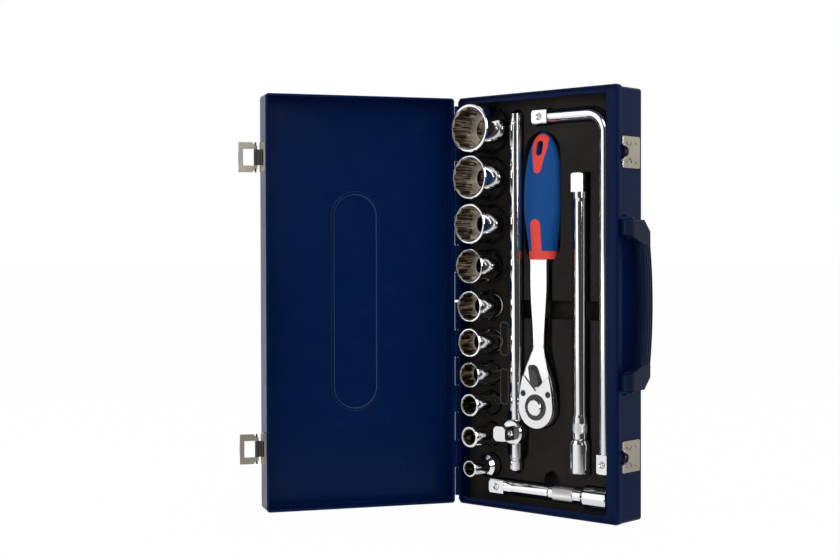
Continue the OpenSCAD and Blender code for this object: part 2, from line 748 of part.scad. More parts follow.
module carrying_handle() color("#161b30") translate([pivot_x, pivot_y, mid_z]) {
    half = handle_l / 2;
    span = asin((half - shoulder_l) / bow_r);
    bow_y = handle_reach - bow_r;
    shoulder_y = bow_y + bow_r * cos(span);
    // Grip: a grooved, rounded section swept along its bow
    translate([0, bow_y, 0]) rotate([0, 90, 0]) rotate([0, 0, 90 - span])
        rotate_extrude(angle = 2 * span) translate([bow_mid_r, 0]) difference() {
            rounded(grip_w, grip_t, 3);
            for (k = [-1, 0, 1]) translate([k * 3, grip_t / 2]) circle(groove_depth, $fn = 24);
            translate([grip_w / 2, 0]) circle(groove_depth, $fn = 24);
        }
    // Arms that taper from the grip to the pivots
    for (s = [0, 1]) mirror([0, 0, s]) difference() {
        intersection() {
            translate([0, 0, half - arm_l]) linear_extrude(arm_l) {
                circle(grip_t / 2);
                translate([-grip_t / 2, 0]) square([grip_t, handle_reach]);
            }
            rotate([0, 90, 0]) linear_extrude(2 * grip_t, center = true) polygon([
                [-half, -grip_t], [-half, shoulder_y - shoulder_drop],
                [shoulder_l - half, shoulder_y - 0.2], [arm_l - half, shoulder_y],
                [arm_l - half, handle_reach - grip_w - 3], [arm_w - 3 - half, -grip_t]
            ]);
        }
        translate([0, 0, half - arm_l]) cylinder(r = handle_pin_r + turn_fit, h = arm_l + eps);
    }
}

// ---------------------------------------------------------------- sockets

// Twelve-point socket standing on its drive end
module socket(i) color("silver")
    translate([socket_x, socket_bottom_y(i), socket_z(i)]) face_out() {
        l = socket_l(i);
        r = socket_od[i] / 2;
        rd = drive_end_d(i) / 2;
        af = socket_af[i];
        big = r > rd;
        hex_l = big ? 0.55 * af + 6 : l - drive_body_l - 4;
        waist = big ? l - hex_l - 3 : drive_body_l + 3;
        difference() {
            rotate_extrude() polygon([
                [0, 0], [rd - 0.8, 0], [rd, 0.8], [rd, 4], [rd - 0.5, 4.5], [rd - 0.5, 6],
                [rd, 6.5], [rd, drive_body_l - 3], [big ? rd + 0.15 * (r - rd) : rd - 0.4, drive_body_l],
                [r, waist], [r, l - 0.7], [r - 0.6, l], [0, l]
            ]);
            translate([-sq_hole / 2, -sq_hole / 2, -eps]) cube([sq_hole, sq_hole, drive_body_l]);
            translate([0, 0, drive_body_l - 1.5])
                cylinder(r = min(af / 2 - 0.3, rd - 2.5), h = l);
            for (a = [0, 30]) rotate([0, 0, a]) translate([0, 0, l - hex_l])
                cylinder(r = af / 2 / cos(30), h = hex_l + eps, $fn = 6);
            // Lead-in at the mouth
            translate([0, 0, l - 1]) cylinder(r1 = af / 2, r2 = af / 2 / cos(30) + 0.3, h = 1.01);
        }
    }

// ---------------------------------------------------------------- sliding T handle

module sliding_bar() color("silver") translate([bar_x, axis_y, bar_z]) {
    r = bar_d / 2;
    stop = 8;
    rotate_extrude() polygon([
        [0, 0], [r - 1.2, 0], [r, 1.2], [r, stop], [r - 0.7, stop + 0.7], [r - 0.7, stop + 2.2],
        [r, stop + 2.9], [r, bar_l - stop - 2.9], [r - 0.7, bar_l - stop - 2.2],
        [r - 0.7, bar_l - stop - 0.7], [r, bar_l - stop], [r, bar_l - 1.2],
        [r - 1.2, bar_l], [0, bar_l]
    ]);
}

module sliding_head() color("silver") translate([bar_x, axis_y, head_z]) difference() {
    r = head_d / 2;
    face_out() {
        rotate_extrude() polygon([
            [0, -head_back], [r - 3, -head_back], [r, -head_back + 3], [r, head_face - 1.5],
            [r - 1.5, head_face], [0, head_face]
        ]);
        translate([0, 0, head_face - 1]) tang(tang_l + 1);
    }
    cylinder(r = bar_d / 2 + turn_fit, h = 2 * head_d, center = true);
    translate([0, -head_face, 0]) face_out() rotate([0, 0, 90]) ball_hole(tang_l / 2 + 1);
}

module sliding_head_ball()
    translate([bar_x, axis_y - head_face, head_z]) face_out() rotate([0, 0, 90])
        ball(tang_l / 2 + 1);

// ---------------------------------------------------------------- bent handle

module l_handle() color("silver") translate([l_x, axis_y, 0]) difference() {
    leg_top = l_arm_z - l_bend_r;
    union() {
        translate([0, 0, l_end_z + tang_l - 1]) cylinder(d = l_d, h = leg_top - l_end_z - tang_l + 1);
        translate([-l_bend_r, 0, leg_top]) rotate([90, 0, 0])
            rotate_extrude(angle = 90) translate([l_bend_r, 0]) circle(d = l_d);
        translate([-l_bend_r, 0, l_arm_z]) rotate([0, -90, 0])
            cylinder(d = l_d, h = l_arm - l_bend_r - tang_l + 1);
        translate([0, 0, l_end_z + tang_l]) mirror([0, 0, 1]) tang(tang_l);
        translate([-l_arm + tang_l, 0, l_arm_z]) rotate([0, -90, 0]) tang(tang_l);
    }
    translate([0, 0, l_end_z]) ball_hole(tang_l / 2);
    translate([-l_arm + tang_l, 0, l_arm_z]) rotate([0, -90, 0]) ball_hole(tang_l / 2);
}

module l_handle_lower_ball() translate([l_x, axis_y, l_end_z]) ball(tang_l / 2);

module l_handle_upper_ball()
    translate([l_x - l_arm + tang_l, axis_y, l_arm_z]) rotate([0, -90, 0]) ball(tang_l / 2);

// ---------------------------------------------------------------- extensions

// Extension standing on its socket end
module extension(length, end_l, collar_l, collar_d, band) difference() {
    r = ext_d / 2;
    re = ext_end_d / 2;
    rc = collar_d / 2;
    top = length - tang_l;
    union() {
        rotate_extrude() polygon([
            [0, 0], [re - 0.8, 0], [re, 0.8], [re, end_l - 3], [re - 1.4, end_l],
            [rc, end_l + 1], [rc, end_l + collar_l], [r, end_l + collar_l + 2],
            [r, top - 8], [r + 0.6, top - 5], [r + 0.6, top + 0.6], [0, top + 0.6]
        ]);
        // Gripping band
        translate([0, 0, band[0]]) cylinder(r = rc + band_h, h = band[1] - band[0]);
        translate([0, 0, top]) tang(tang_l);
    }
    translate([-sq_hole / 2, -sq_hole / 2, -eps]) cube([sq_hole, sq_hole, tang_l + eps + 0.5]);
    translate([0, 0, top]) ball_hole(tang_l / 2);
}

module at_long_extension()
    translate([ext_long_x, axis_y, ext_long_z]) rotate([0, 0, ext_long_turn]) children();

module at_short_extension()
    translate([ext_short_x, axis_y, ext_short_z]) rotate([0, -90, 0]) children();

module long_extension() color("silver") at_long_extension()
    extension(ext_long_l, ext_long_end, 19, long_collar_d, [ext_long_end + 6, ext_long_end + 14]);

module long_extension_ball() at_long_extension() ball(ext_long_l - tang_l / 2);

module short_extension() color("silver") at_short_extension()
    extension(ext_short_l, ext_short_end, 34, short_collar_d, [ext_short_end + 9, ext_short_end + 30]);

module short_extension_ball() at_short_extension() ball(ext_short_l - tang_l / 2);

// ---------------------------------------------------------------- ratchet

// Half width of the flat steel forging at a height above the head's centre
function ease(t) = (1 - cos(180 * t)) / 2;
function half_width(h) =
    h < neck_h ? let (w0 = sqrt(ratchet_r * ratchet_r - blend_h * blend_h),
                      t = (h - blend_h) / (neck_h - blend_h))
        neck_w / 2 + (w0 - neck_w / 2) * pow(max(1 - pow(t, 1.8), 0), 1.2)
    : neck_w / 2 + (shank_w - neck_w) / 2 * ease(min((h - neck_h) / shank_rise, 1));

// Outline of head, neck and shank, up to a given height
module forging_outline(top) {
    steps = 24;
    hs = [for (k = [0 : steps]) blend_h + (top - blend_h) * k / steps];
    circle(ratchet_r);
    polygon(concat(
        [for (h = hs) [half_width(h), h]],
        [for (k = [steps : -1 : 0]) [-half_width(hs[k]), hs[k]]]
    ));
}

// Side view of the forging, drawn in Y and Z from the head's centre
module forging_side(top) {
    front = axis_y - shank_t / 2;
    back = axis_y + shank_t / 2;
    polygon([
        [face_y + neck_drop, -30], [face_y + neck_drop, 34], [front, neck_h + 2], [front, top],
        [back, top], [back, neck_h + 4], [head_back_y - 1, 27], [head_back_y, 22],
        [head_back_y, -30]
    ]);
}

// Everything below the V that points towards the gear
module below_v(grow)
    polygon([[-40, v_side + grow], [-v_half_w, v_side + grow], [0, v_tip + grow],
             [v_half_w, v_side + grow], [40, v_side + grow], [40, -40], [-40, -40]]);

module at_ratchet() translate([ratchet_x, 0, ratchet_z]) children();

module ratchet_body() color("silver") at_ratchet() difference() {
    shank_top = handle_z - ratchet_z;
    union() {
        intersection() {
            along_y(face_y, head_back_y) forging_outline(shank_top);
            rotate([90, 0, 90]) translate([0, 0, -30]) linear_extrude(60)
                forging_side(shank_top + 1);
        }
        // Tongue inside the grip
        along_y(axis_y - shank_t / 2 + 1, axis_y + shank_t / 2 - 1)
            translate([-shank_w / 2 + 2.5, shank_top - 1]) square([shank_w - 5, tongue_l + 1]);
    }
    // Seat of the cover
    along_y(face_y - eps, face_y + cover_t) below_v(0.15);
    // Room for the gear and, behind the lever, for the pawl
    along_y(face_y, gear_y1 + 0.2) circle(gear_room_r);
    along_y(pawl_y0 - 0.2, gear_y1 + 0.2) translate([0, pawl_z - ratchet_z - 3]) circle(8.4);
    // Hub hole at the drive side
    along_y(gear_y1, head_back_y + eps) circle(back_hub_r + turn_fit);
    // Hole for the lever's spindle
    along_y(face_y, gear_y1 + 1.4) translate([0, pawl_z - ratchet_z])
        circle(pawl_pin_r + turn_fit);
    for (s = [-1, 1]) along_y(face_y, face_y + cover_t + 4)
        translate([s * screw_dx, screw_dz]) circle(screw_r + held_fit);
}

module ratchet_cover() color("silver") at_ratchet() difference() {
    along_y(face_y, face_y + cover_t) intersection() {
        forging_outline(neck_h);
        below_v(0);
    }
    along_y(face_y - eps, face_y + cover_t + eps) {
        circle(hub_r + turn_fit);
        for (s = [-1, 1]) translate([s * screw_dx, screw_dz]) circle(screw_r + held_fit);
    }
    // Countersinks of the screws
    for (s = [-1, 1]) translate([s * screw_dx, face_y - 0.01, screw_dz]) rotate([-90, 0, 0])
        cylinder(r1 = 2.8 + held_fit, r2 = screw_r + held_fit, h = 1.2);
}

module cover_screws() color("dimgray") at_ratchet() for (s = [-1, 1])
    translate([s * screw_dx, face_y + 0.05, screw_dz]) rotate([-90, 0, 0]) difference() {
        union() {
            cylinder(r1 = 2.75, r2 = screw_r, h = 1.15);
            cylinder(r = screw_r, h = cover_t + 3.4);
        }
        translate([0, 0, -eps]) cylinder(r = 1, h = 1.4 + eps, $fn = 6);
    }

// Rocking pawl, keyed to the lever's spindle
module pawl() color("dimgray") at_ratchet() translate([0, 0, pawl_z - ratchet_z])
    rotate([0, -lever_tilt, 0]) along_y(pawl_y0, gear_y1 - 0.2) difference() {
        intersection() {
            translate([0, -3]) circle(7.2);
            translate([-9, -6.2]) square([18, 7.5]);
            difference() {
                circle(20);
                translate([0, -(pawl_z - ratchet_z)]) circle(gear_r + 1.9);
            }
        }
        circle(pawl_pin_r + held_fit);
    }

module reversing_lever() color("#2a2a2c") at_ratchet() translate([0, 0, pawl_z - ratchet_z])
    rotate([0, -lever_tilt, 0]) {
        along_y(face_y - 1.8, face_y + neck_drop - 0.3) {
            circle(4.4);
            translate([0, 12.5]) circle(3);
            polygon([[-4.4, 0], [-3, 12.5], [3, 12.5], [4.4, 0]]);
        }
        along_y(face_y, gear_y1 + 1.2) circle(pawl_pin_r);
        // Raised thumb ridge
        along_y(face_y - 2.8, face_y - 1.8) translate([0, 12]) circle(1.8);
    }

module drive_gear() color("#3a3a3e") at_ratchet() difference() {
    union() {
        along_y(gear_y0, gear_y1) polygon([
            for (k = [0 : gear_teeth - 1]) for (j = [0 : 3])
                let (a = (k + [0, 0.2, 0.5, 0.7][j]) * 360 / gear_teeth,
                     r = j == 0 || j == 3 ? gear_r - tooth_h : gear_r)
                    [r * cos(a), r * sin(a)]
        ]);
        along_y(face_y + 0.1, gear_y0 + 0.5) circle(hub_r);
        along_y(gear_y1 - 0.5, head_back_y + 0.3) circle(back_hub_r);
        translate([0, head_back_y, 0]) rotate([-90, 0, 0]) tang(drive_tip_y - head_back_y);
    }
    // Bore of the release button and of its rod
    along_y(face_y - eps, face_y + 7.6 + button_travel) circle(button_r + turn_fit);
    along_y(face_y, drive_tip_y - 2) circle(rod_r + turn_fit);
    translate([0, gear_ball_y, 0]) rotate([0, -90, 0])
        cylinder(r = ball_r + held_fit, h = drive_sq / 2 + eps);
}

module drive_gear_ball() color("silver") at_ratchet()
    translate([-(drive_sq / 2 - ball_r + ball_out), gear_ball_y, 0]) sphere(ball_r);

// Button with its rod; the rod's waist lets the ball drop when it is pressed
module release_button() color("silver") at_ratchet() translate([0, face_y - button_out, 0])
    rotate([-90, 0, 0]) {
        top = face_y - button_out;
        tip = drive_tip_y - 2 - button_travel - 0.3 - top;
        waist = gear_ball_y - button_travel - top;
        rotate_extrude() polygon([
            [0, 0], [button_r - 1, 0], [button_r, 1], [button_r, button_out + 7],
            [rod_r, button_out + 7], [rod_r, waist - 3.5], [rod_waist_r, waist - 2.4],
            [rod_waist_r, waist + 2.4], [rod_r, waist + 3.5], [rod_r, tip], [0, tip]
        ]);
    }

// Grip: oval sections whose size follows one smooth curve from collar to rounded end
function grip_size(t, at_collar, largest, swell, taper) =
    t < swell ? at_collar + (largest - at_collar) * ease(t / swell)
    : largest * sqrt(max(1 - pow((t - swell) / (1 - swell), taper), 0));
function oval(a, b, n) = [for (k = [0 : n - 1]) let (w = 360 * k / n)
    [a * sign(cos(w)) * pow(abs(cos(w)), 0.88), b * sign(sin(w)) * pow(abs(sin(w)), 0.88)]];

module grip_solid(inset) {
    sides = 36;
    rings = 22;
    low = inset > 0 ? -1 : 0;
    long = handle_grip_l - inset - low;
    ts = [for (k = [0 : rings]) let (f = k / rings) 1 - pow(1 - f, 1.5) * 0.999];
    points = [for (t = ts) let (tt = min(t, 0.9965),
                  a = grip_size(tt, collar_w / 2 - inset, handle_grip_w / 2 - inset,
                                swell_w, taper_w),
                  b = grip_size(tt, collar_t / 2 - inset, handle_grip_t / 2 - inset,
                                swell_t, taper_t),
                  o = oval(a, b, sides))
        for (p = o) [p[0], p[1], low + long * t]];
    faces = concat(
        [[for (k = [0 : sides - 1]) k]],
        [for (r = [0 : rings - 1]) for (k = [0 : sides - 1])
            let (a = r * sides + k, b = r * sides + (k + 1) % sides)
            for (f = [[a, a + sides, b], [b, a + sides, b + sides]]) f],
        [[for (k = [sides - 1 : -1 : 0]) rings * sides + k]]
    );
    translate([ratchet_x, grip_y, handle_z]) polyhedron(points, faces);
}

// Hole to hang the tool by
module hang_hole()
    along_y(-handle_grip_w, handle_grip_w)
        upright_slot(ratchet_x, handle_z + hang_z - hang_l / 2, handle_z + hang_z + hang_l / 2,
                     hang_w);

// Places where the second colour shows: collar, stripes and hanging end, front and back
module inlay_places() {
    far = handle_grip_t;
    half = tongue_w / 2;
    translate([ratchet_x - far, grip_y - far, handle_z - 2])
        cube([2 * far, 2 * far, collar_h + 2]);
    for (span = [[grip_y - far, grip_y - 2], [grip_y + 2, grip_y + far]])
        along_y(span[0], span[1]) {
            upright_slot(ratchet_x, handle_z - 8, handle_z + stripe_top, stripe_w);
            translate([ratchet_x, handle_z]) {
                translate([0, tongue_tip_z]) circle(tongue_tip_r);
                polygon([
                    [-tongue_tip_r, tongue_tip_z], [tongue_tip_r, tongue_tip_z],
                    [half, hang_z], [half, handle_grip_l + 5], [-half, handle_grip_l + 5],
                    [-half, hang_z]
                ]);
            }
        }
}

module tongue_slot()
    translate([ratchet_x, 0, 0])
        along_y(axis_y - shank_t / 2 + 0.9, axis_y + shank_t / 2 - 0.9)
            translate([-shank_w / 2 + 2.4, handle_z - 1]) square([shank_w - 4.8, tongue_l + 1.4]);

module ratchet_grip() color("#12498f") difference() {
    grip_solid(0);
    difference() {
        inlay_places();
        grip_solid(inlay_t);
    }
    hang_hole();
    tongue_slot();
}

module grip_inlays() color("#e0453c") difference() {
    intersection() {
        grip_solid(0);
        inlay_places();
    }
    grip_solid(inlay_t);
    hang_hole();
    tongue_slot();
}

// ---------------------------------------------------------------- the parts

base_shell();
tray();
base_hinge_leaves();
hinge_pins();
catch_plates();
handle_brackets();
lid_shell();
lid_hinge_leaves();
latch_plates();
latch_pins();
latch_link(latch_z[1]);  // latch_link_upper
latch_link(latch_z[0]);  // latch_link_lower
latch_lever(latch_z[1]);  // latch_lever_upper
latch_lever(latch_z[0]);  // latch_lever_lower
carrying_handle();
socket(0);  // socket_10
socket(1);  // socket_12
socket(2);  // socket_14
socket(3);  // socket_17
socket(4);  // socket_19
socket(5);  // socket_21
socket(6);  // socket_24
socket(7);  // socket_27
socket(8);  // socket_30
socket(9);  // socket_32
sliding_bar();
sliding_head();
sliding_head_ball();
l_handle();
l_handle_upper_ball();
l_handle_lower_ball();
long_extension();
long_extension_ball();
short_extension();
short_extension_ball();
ratchet_body();
ratchet_cover();
cover_screws();
pawl();
reversing_lever();
drive_gear();
drive_gear_ball();
release_button();
ratchet_grip();
grip_inlays();
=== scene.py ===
import json
import math

import bmesh
import bpy
from mathutils import Matrix, Vector


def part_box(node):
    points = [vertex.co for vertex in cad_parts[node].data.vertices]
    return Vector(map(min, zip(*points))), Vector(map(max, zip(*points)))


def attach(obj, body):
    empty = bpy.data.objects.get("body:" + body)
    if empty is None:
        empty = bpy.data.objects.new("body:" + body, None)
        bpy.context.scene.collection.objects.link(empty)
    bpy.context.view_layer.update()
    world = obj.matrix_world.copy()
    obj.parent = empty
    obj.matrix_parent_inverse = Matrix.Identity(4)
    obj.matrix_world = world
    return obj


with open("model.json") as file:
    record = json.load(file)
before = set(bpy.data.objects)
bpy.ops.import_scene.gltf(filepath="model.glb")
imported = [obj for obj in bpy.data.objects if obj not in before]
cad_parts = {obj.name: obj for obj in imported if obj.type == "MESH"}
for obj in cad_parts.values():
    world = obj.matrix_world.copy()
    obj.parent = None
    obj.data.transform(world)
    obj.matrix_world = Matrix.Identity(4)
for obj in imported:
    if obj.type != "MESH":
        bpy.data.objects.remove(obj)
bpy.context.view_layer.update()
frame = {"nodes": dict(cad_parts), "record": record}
scene = bpy.context.scene
MM = 0.001

# Places in mm. Across the case: the outside of the base's handle wall, the outer face of the
# plates on that wall, that of the latch plates on the shut lid and that of the hinge leaves
WALL_X = 83.8
PLATE_X = 85.0
LATCH_PLATE_X = 86.2
LEAF_X = -85.8
# Into the case: the face of the tray, and the middle of the catches' half-round hooks
TRAY_Y = -4.5
CATCH_Y = -11.4
# Along the case: its middle, the latches and the rivets of the hinges
MIDDLE_Z = 180
LATCH_Z = {"upper": MIDDLE_Z + 125, "lower": MIDDLE_Z - 125}
HINGE_RIVET_Z = sorted(MIDDLE_Z + s * d for d in (12, 62, 118, 162) for s in (-1, 1))
# Pin of the lid's hinge, and the angle that the lid is open, in degrees
HINGE = Vector((-86.9 * MM, -18 * MM, 0))
LID_OPEN = 121
LID_TURN = Matrix.Rotation(math.radians(-LID_OPEN), 3, "Z")

# ------------------------------------------------------------------ camera
# Yaw from +Y towards -X, pitch downwards and roll, in degrees
CAMERA_AT = Vector((0.761878, -1.008224, 0.222085))
YAW, PITCH, ROLL = (math.radians(a) for a in (42.0386, 1.0215, -0.1378))
LENS = 62.777


def add_camera():
    """Camera where a fit to the case's corners puts the photograph's."""
    forward = Vector((-math.sin(YAW) * math.cos(PITCH), math.cos(YAW) * math.cos(PITCH),
                      -math.sin(PITCH)))
    level = Vector((math.cos(YAW), math.sin(YAW), 0))
    rise = level.cross(forward)
    right = level * math.cos(ROLL) + rise * math.sin(ROLL)
    up = rise * math.cos(ROLL) - level * math.sin(ROLL)
    data = bpy.data.cameras.new("camera")
    data.lens = LENS
    data.sensor_width = 36
    data.clip_start = 0.05
    camera = bpy.data.objects.new("camera", data)
    scene.collection.objects.link(camera)
    camera.matrix_world = Matrix((right, up, -forward)).transposed().to_4x4()
    camera.location = CAMERA_AT
    scene.camera = camera


# ------------------------------------------------------------------ materials
class Nodes:
    """A material's node tree, written in short calls."""

    def __init__(self, name):
        self.material = bpy.data.materials.new(name)
        self.material.use_nodes = True
        self.tree = self.material.node_tree
        self.shader = self.tree.nodes["Principled BSDF"]
        self.coords = self.add("ShaderNodeTexCoord").outputs["Object"]

    def add(self, kind, **values):
        node = self.tree.nodes.new(kind)
        for key, value in values.items():
            setattr(node, key, value)
        return node

    def join(self, source, socket):
        self.tree.links.new(source, socket)

    def noise(self, scale, detail=3.0, stretch=(1, 1, 1)):
        move = self.add("ShaderNodeMapping")
        move.inputs["Scale"].default_value = stretch
        self.join(self.coords, move.inputs["Vector"])
        node = self.add("ShaderNodeTexNoise")
        node.inputs["Scale"].default_value = scale
        node.inputs["Detail"].default_value = detail
        self.join(move.outputs[0], node.inputs["Vector"])
        return node.outputs["Fac"]

    def spread(self, source, low, high, start=0.3, end=0.7):
        node = self.add("ShaderNodeMapRange")
        for key, value in zip(("From Min", "From Max", "To Min", "To Max"),
                              (start, end, low, high)):
            node.inputs[key].default_value = value
        self.join(source, node.inputs["Value"])
        return node.outputs["Result"]

    def blend(self, factor, first, second):
        node = self.add("ShaderNodeMix", data_type="RGBA")
        self.join(factor, node.inputs["Factor"])
        # Inputs 6 and 7 and output 2 are the ones for colours
        for key, value in ((6, first), (7, second)):
            if isinstance(value, tuple):
                node.inputs[key].default_value = value + (1,)
            else:
                self.join(value, node.inputs[key])
        return node.outputs[2]

    def math(self, operation, first, second):
        node = self.add("ShaderNodeMath", operation=operation)
        for key, value in enumerate((first, second)):
            if isinstance(value, (int, float)):
                node.inputs[key].default_value = value
            else:
                self.join(value, node.inputs[key])
        return node.outputs[0]

    def bevel(self, radius):
        node = self.add("ShaderNodeBevel", samples=4)
        node.inputs["Radius"].default_value = radius
        return node.outputs[0]

    def edges(self, rounded):
        """1 along hard edges and 0 on open faces."""
        dot = self.add("ShaderNodeVectorMath", operation="DOT_PRODUCT")
        self.join(rounded, dot.inputs[0])
        self.join(self.add("ShaderNodeNewGeometry").outputs["Normal"], dot.inputs[1])
        return self.spread(dot.outputs["Value"], 1, 0, 0.8, 0.98)

    def bump(self, height, distance, normal=None):
        node = self.add("ShaderNodeBump")
        node.inputs["Strength"].default_value = 1.0
        node.inputs["Distance"].default_value = distance
        self.join(height, node.inputs["Height"])
        if normal is not None:
            self.join(normal, node.inputs["Normal"])
        return node.outputs[0]

    def set(self, **values):
        names = {"color": "Base Color", "roughness": "Roughness", "metallic": "Metallic",
                 "normal": "Normal", "level": "Specular IOR Level"}
        for key, value in values.items():
            socket = self.shader.inputs[names[key]]
            if isinstance(value, bpy.types.NodeSocket):
                self.join(value, socket)
            else:
                socket.default_value = value + (1,) if isinstance(value, tuple) else value
        return self.material


def enamel(name="case_paint", edge_wear_and_highlight=(0.05, 0.075, 0.13), most=0.5, painted_shade=1.0):
    """Stoved navy enamel on pressed steel: orange peel, faint clouding, rubbed edges; on the lid's
    panel bead the pale edge colour is a painted highlight instead.
    """
    n = Nodes(name)
    rounded = n.bevel(0.0010)
    # Paler colour along the edges: wear on the case, a painted highlight on the lid's panel bead
    wear_and_highlight_mask = n.math("MULTIPLY", n.edges(rounded),
                    n.spread(n.noise(180, 6), 0, most, 1 - most, 1.25 - most))
    # painted_shade darkens the whole enamel: painted shade, which gives the base its darker copy
    tone = n.blend(n.spread(n.noise(14), 0, 1), (0.0001, 0.0092 * painted_shade, 0.055 * painted_shade),
                   (0.0003, 0.0108 * painted_shade, 0.063 * painted_shade))
    peel = n.bump(n.noise(900, 2), 0.00003, rounded)
    return n.set(color=n.blend(wear_and_highlight_mask, tone, edge_wear_and_highlight),
                 roughness=n.spread(n.noise(60, 5), 0.20, 0.28), normal=peel, level=0.06)


def moulded_tray():
    """Blow-moulded tray: brown-black, matt, with a leather-fine grain."""
    n = Nodes("tray_plastic")
    rounded = n.bevel(0.0008)
    scuffed = n.math("MULTIPLY", n.edges(rounded), n.spread(n.noise(240, 5), 0, 0.55, 0.4, 0.7))
    tone = n.blend(n.spread(n.noise(25), 0, 1), (0.0105, 0.0092, 0.0082), (0.0150, 0.0135, 0.0120))
    speck = n.spread(n.noise(2600, 2), 0, 0.35, 0.55, 0.75)
    grain = n.bump(n.noise(2100, 3), 0.00012, rounded)
    return n.set(color=n.blend(scuffed, n.blend(speck, tone, (0.03, 0.028, 0.025)),
                               (0.045, 0.042, 0.038)),
                 roughness=n.spread(n.noise(90, 4), 0.52, 0.68), normal=grain, level=0.12)


def plated(name, tone, deep, low, high, brush, bevel=0.0003):
    """Plated or blackened metal with fine marks along its length and soft smears."""
    n = Nodes(name)
    rounded = n.bevel(bevel)
    lines = n.noise(brush[0], 3, brush[1])
    marks = n.bump(lines, brush[2], rounded)
    cloud = n.math("ADD", n.spread(n.noise(50, 5), low, high), n.spread(lines, 0, 0.03))
    return n.set(color=n.blend(n.spread(n.noise(30), 0, 1), tone, deep), metallic=1.0,
                 roughness=cloud, normal=marks)


def broached_bore():
    """Inside of a socket: warm grey steel with dark broaching marks along the bore."""
    n = Nodes("broached_bore")
    marks = n.noise(760, 2, (1, 0.05, 1))
    steel = n.blend(n.spread(n.noise(160, 3), 0, 1), (0.82, 0.74, 0.64), (0.46, 0.39, 0.32))
    return n.set(color=n.blend(n.spread(marks, 0, 1, 0.49, 0.55), steel, (0.045, 0.036, 0.028)),
                 metallic=1.0, roughness=n.spread(marks, 0.16, 0.34),
                 normal=n.bump(marks, 0.00008, n.bevel(0.0002)))


def soft_plastic(name, tone, deep, low, high, grain, level, bevel=0.0005):
    """Moulded plastic with a fine grain and slightly paler edges."""
    n = Nodes(name)
    rounded = n.bevel(bevel)
    # Paler edges: wear on the handle and grips, a painted highlight on the tray's label frames
    edge_wear_and_highlight = n.math("MULTIPLY", n.edges(rounded), 0.25)
    pale = tuple(min(1.0, v * 1.6 + 0.02) for v in tone)
    return n.set(color=n.blend(edge_wear_and_highlight, n.blend(n.spread(n.noise(35, 4), 0, 1), tone, deep), pale),
                 roughness=n.spread(n.noise(70, 5), low, high), level=level,
                 normal=n.bump(n.noise(grain[0], 2), grain[1], rounded))


FINISH = {
    "case_paint": enamel(),
    "tray_plastic": moulded_tray(),
    "chrome": plated("chrome", (0.80, 0.80, 0.81), (0.74, 0.745, 0.76), 0.05, 0.10,
                     (260, (3, 3, 1), 0.0000015)),
    "forged_chrome": plated("forged_chrome", (0.80, 0.80, 0.81), (0.74, 0.745, 0.76), 0.06, 0.12,
                            (260, (3, 3, 1), 0.000002), 0.0018),
    "nickel": plated("nickel", (0.40, 0.36, 0.31), (0.33, 0.30, 0.25), 0.26, 0.38,
                     (900, (1, 1, 6), 0.00001)),
    "dark_steel": plated("dark_steel", (0.055, 0.054, 0.056), (0.085, 0.083, 0.08), 0.30, 0.44,
                         (1200, (1, 1, 1), 0.00001)),
    "handle_plastic": soft_plastic("handle_plastic", (0.0016, 0.0070, 0.027),
                                   (0.0022, 0.0085, 0.032), 0.26, 0.36, (1500, 0.00002), 0.1,
                                   0.0025),
    "blue_grip": soft_plastic("blue_grip", (0.0030, 0.054, 0.215), (0.0042, 0.064, 0.240),
                              0.42, 0.54, (1800, 0.00004), 0.12),
    "red_grip": soft_plastic("red_grip", (0.72, 0.055, 0.040), (0.66, 0.046, 0.034),
                             0.40, 0.52, (1800, 0.00004), 0.25),
}


def dress_frame():
    """Gives each node the finish of its slot, and a few nodes one of their own."""
    slot_of = {s["node"]: s["material_slot"] for s in frame["record"]["subparts"]}
    bore = broached_bore()
    floor = plated("bore_floor", (0.96, 0.92, 0.85), (0.86, 0.80, 0.71), 0.42, 0.58,
                   (700, (1, 1, 1), 0.00002))
    lead_in = plated("bore_lead_in", (0.34, 0.30, 0.25), (0.22, 0.19, 0.16), 0.28, 0.40,
                     (700, (1, 1, 1), 0.00002))
    for name, obj in frame["nodes"].items():
        obj.data.materials.clear()
        obj.data.materials.append(FINISH[slot_of[name]])
        if name == "ratchet_body":
            obj.data.materials[0] = FINISH["forged_chrome"]
        # The base gets a darker copy of the lid's enamel: painted shade, since the real base and
        # lid share one paint
        if name == "base_shell":
            obj.data.materials[0] = enamel("base_enamel_painted_shade", painted_shade=0.68)
        if name.startswith("socket_"):
            for finish in (bore, floor, lead_in):
                obj.data.materials.append(finish)
            finish_bore(obj, name)


def finish_bore(obj, name):
    """Gives a socket's bore the broached finish and its floor and lead-in a satin one."""
    bore, floor, lead_in = 1, 2, 3
    # Least turn of a face towards the axis, least wall outside the bore and length of the lead-in
    edge, wall, lead_in_l = 0.1 * MM, 1.2 * MM, 2.5 * MM
    # How far a normal leans towards the mouth where a wall ends and a floor begins
    lean = 0.35
    low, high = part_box(name)
    axis = (low + high) / 2
    # Beyond this reach lies the shoulder outside the bore; the node's name ends in its size
    bore_r = int(name[-2:]) * 0.6 * MM
    world = obj.matrix_world
    for face in obj.data.polygons:
        at = world @ face.center - axis
        out = (world.to_3x3() @ face.normal).normalized()
        away = out.x * at.x + out.z * at.z
        reach = math.hypot(at.x, at.z)
        deep = at.y > low.y - axis.y + lead_in_l
        if away < -edge and abs(out.y) < lean and reach < (high.x - low.x) / 2 - wall:
            face.material_index = bore
        elif out.y < -lean and reach < bore_r and (deep or away < -edge):
            face.material_index = floor if deep else lead_in


